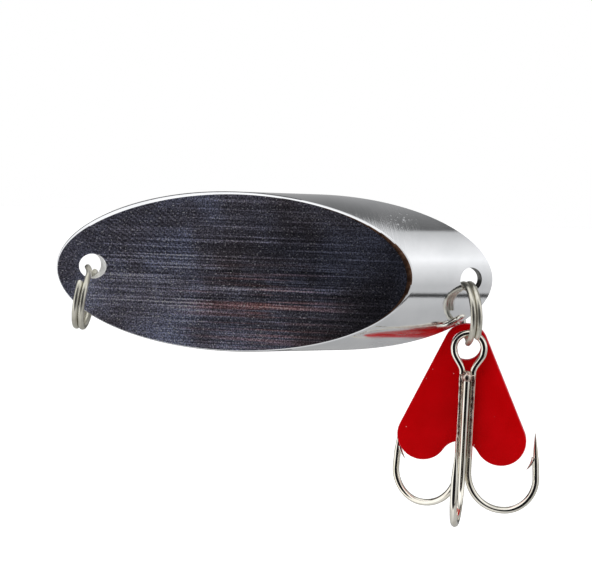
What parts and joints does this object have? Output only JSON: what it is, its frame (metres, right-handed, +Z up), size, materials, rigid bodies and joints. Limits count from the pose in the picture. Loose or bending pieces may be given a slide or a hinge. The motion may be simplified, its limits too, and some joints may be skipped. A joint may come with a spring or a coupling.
{
  "type": "spoon lure",
  "caption": "Casting spoon cut as a slanting slice of plated bar, with split rings, a red plastic tag and a treble hook that hang and swing.",
  "frame": {"origin": "centre of the spoon's flat back oval", "axes": "+X along the spoon from its nose to its tail, +Y out of the flat back oval, +Z up as the spoon hangs level"},
  "size_m": [0.0553, 0.0138, 0.0356],
  "materials": {
    "chrome_plate": "bright chrome plate over brass",
    "ring_steel": "nickel plated",
    "hook_nickel": "bright nickel plated",
    "braze": "rough cast under plating",
    "red_plastic": "smooth moulded"
  },
  "bodies": {
    "spoon": {"spoon_body": "chrome_plate"},
    "nose_ring": {"nose_split_ring": "ring_steel"},
    "tail_ring": {"tail_split_ring": "ring_steel"},
    "treble": {"double_hook": "hook_nickel", "third_hook": "hook_nickel", "braze_bead": "braze"},
    "tag": {"attractor_tag": "red_plastic"}
  },
  "joints": [
    {"name": "nose_ring_swing", "type": "hinge", "parent": "spoon", "child": "nose_ring", "pos_m": [-0.02556, -0.00401, 0], "axis": [-0.4478, 0.8942, 0], "range_deg": [-12, 160]},
    {"name": "tail_ring_swing", "type": "hinge", "parent": "spoon", "child": "tail_ring", "pos_m": [0.0165, -0.0007, 0], "axis": [0.4478, -0.8942, 0], "range_deg": [-2, 145]},
    {"name": "treble_swing", "type": "hinge", "parent": "tail_ring", "child": "treble", "pos_m": [0.01677, -0.00064, -0.0039], "axis": [0.9758, 0.2074, 0.0698], "range_deg": [-60, 60]},
    {"name": "tag_swing", "type": "hinge", "parent": "treble", "child": "tag", "pos_m": [0.01687, 0.00065, -0.00763], "axis": [0.1392, 0.9903, 0], "range_deg": [-30, 30]}
  ]
}
